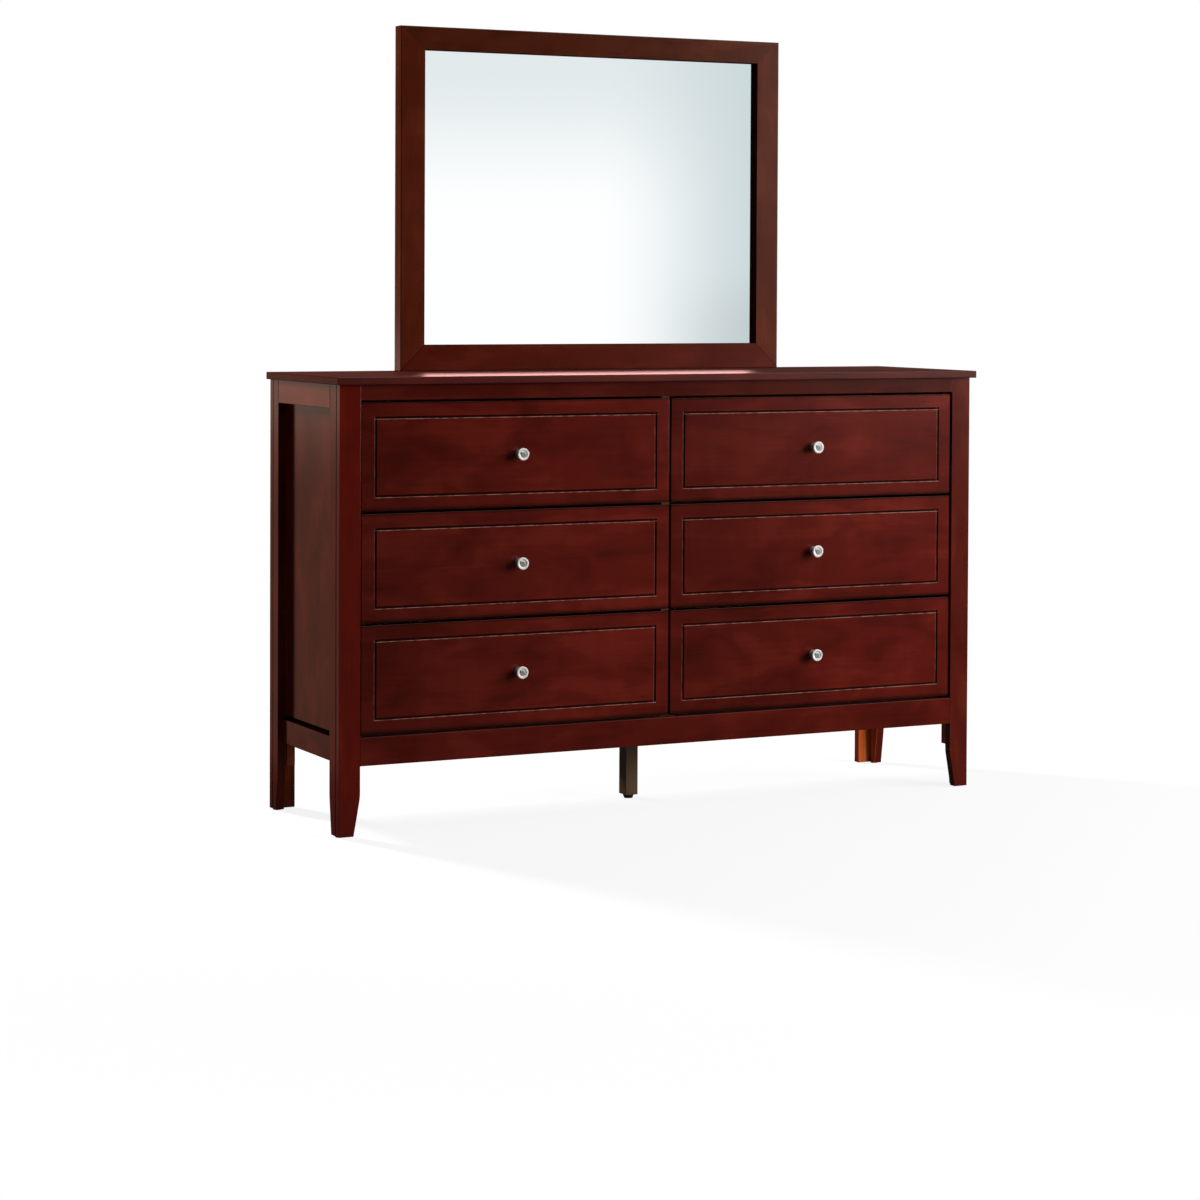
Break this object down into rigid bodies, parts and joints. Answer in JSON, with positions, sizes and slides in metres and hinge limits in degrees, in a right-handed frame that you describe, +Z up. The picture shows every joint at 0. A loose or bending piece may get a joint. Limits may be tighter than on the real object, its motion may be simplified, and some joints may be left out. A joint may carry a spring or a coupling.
{
  "type": "dresser",
  "caption": "Low wide chest of drawers in dark red-brown stained wood, tapered legs, round knobs and a framed mirror standing on its top.",
  "frame": {"origin": "on the floor, under the middle of the whole object's outline box", "axes": "+Z up, +X to the right as seen from the front, drawer fronts face -Y"},
  "size_m": [1.473, 0.4144, 1.616],
  "materials": {
    "cherry_stained_wood": "satin lacquer over red-brown stain",
    "dark_stained_wood": "dark brown stain, satin",
    "unfinished_wood": "unfinished hardwood",
    "drawer_box_wood": "clear sealed light wood",
    "sheet_wood": "thin plywood, matt",
    "mirror_glass": "silvered glass",
    "satin_nickel": "satin nickel plate",
    "screw_steel": "zinc-plated steel",
    "black_plastic": "moulded, matt"
  },
  "bodies": {
    "case": {"top_panel": "cherry_stained_wood", "front_left_leg": "cherry_stained_wood", "front_right_leg": "cherry_stained_wood", "back_left_leg": "cherry_stained_wood", "back_right_leg": "cherry_stained_wood", "left_side_panel": "cherry_stained_wood", "right_side_panel": "cherry_stained_wood", "left_side_top_rail": "cherry_stained_wood", "right_side_top_rail": "cherry_stained_wood", "left_side_bottom_rail": "cherry_stained_wood", "right_side_bottom_rail": "cherry_stained_wood", "front_top_rail": "cherry_stained_wood", "front_apron": "cherry_stained_wood", "centre_partition": "sheet_wood", "back_panel": "sheet_wood", "back_rails": "unfinished_wood", "bottom_stretcher": "unfinished_wood", "centre_leg": "dark_stained_wood", "foot_glides": "black_plastic", "runner_battens": "unfinished_wood", "drawer_runners": "unfinished_wood", "corner_blocks": "unfinished_wood", "mirror_top_rail": "cherry_stained_wood", "mirror_bottom_rail": "cherry_stained_wood", "mirror_left_stile": "cherry_stained_wood", "mirror_right_stile": "cherry_stained_wood", "mirror_glass": "mirror_glass", "mirror_backboard": "sheet_wood", "mirror_supports": "unfinished_wood", "support_screws": "screw_steel"},
    "bottom_left_drawer": {"bottom_left_drawer_front": "cherry_stained_wood", "bottom_left_drawer_box": "drawer_box_wood", "bottom_left_drawer_bottom": "sheet_wood", "bottom_left_knob": "satin_nickel", "bottom_left_knob_screw": "screw_steel"},
    "bottom_right_drawer": {"bottom_right_drawer_front": "cherry_stained_wood", "bottom_right_drawer_box": "drawer_box_wood", "bottom_right_drawer_bottom": "sheet_wood", "bottom_right_knob": "satin_nickel", "bottom_right_knob_screw": "screw_steel"},
    "middle_left_drawer": {"middle_left_drawer_front": "cherry_stained_wood", "middle_left_drawer_box": "drawer_box_wood", "middle_left_drawer_bottom": "sheet_wood", "middle_left_knob": "satin_nickel", "middle_left_knob_screw": "screw_steel"},
    "middle_right_drawer": {"middle_right_drawer_front": "cherry_stained_wood", "middle_right_drawer_box": "drawer_box_wood", "middle_right_drawer_bottom": "sheet_wood", "middle_right_knob": "satin_nickel", "middle_right_knob_screw": "screw_steel"},
    "top_left_drawer": {"top_left_drawer_front": "cherry_stained_wood", "top_left_drawer_box": "drawer_box_wood", "top_left_drawer_bottom": "sheet_wood", "top_left_knob": "satin_nickel", "top_left_knob_screw": "screw_steel"},
    "top_right_drawer": {"top_right_drawer_front": "cherry_stained_wood", "top_right_drawer_box": "drawer_box_wood", "top_right_drawer_bottom": "sheet_wood", "top_right_knob": "satin_nickel", "top_right_knob_screw": "screw_steel"}
  },
  "joints": [
    {"name": "bottom_left_drawer_slide", "type": "slide", "parent": "case", "child": "bottom_left_drawer", "axis": [0, -1, 0], "range_m": [0, 0.24]},
    {"name": "bottom_right_drawer_slide", "type": "slide", "parent": "case", "child": "bottom_right_drawer", "axis": [0, -1, 0], "range_m": [0, 0.24]},
    {"name": "middle_left_drawer_slide", "type": "slide", "parent": "case", "child": "middle_left_drawer", "axis": [0, -1, 0], "range_m": [0, 0.24]},
    {"name": "middle_right_drawer_slide", "type": "slide", "parent": "case", "child": "middle_right_drawer", "axis": [0, -1, 0], "range_m": [0, 0.24]},
    {"name": "top_left_drawer_slide", "type": "slide", "parent": "case", "child": "top_left_drawer", "axis": [0, -1, 0], "range_m": [0, 0.24]},
    {"name": "top_right_drawer_slide", "type": "slide", "parent": "case", "child": "top_right_drawer", "axis": [0, -1, 0], "range_m": [0, 0.24]}
  ]
}
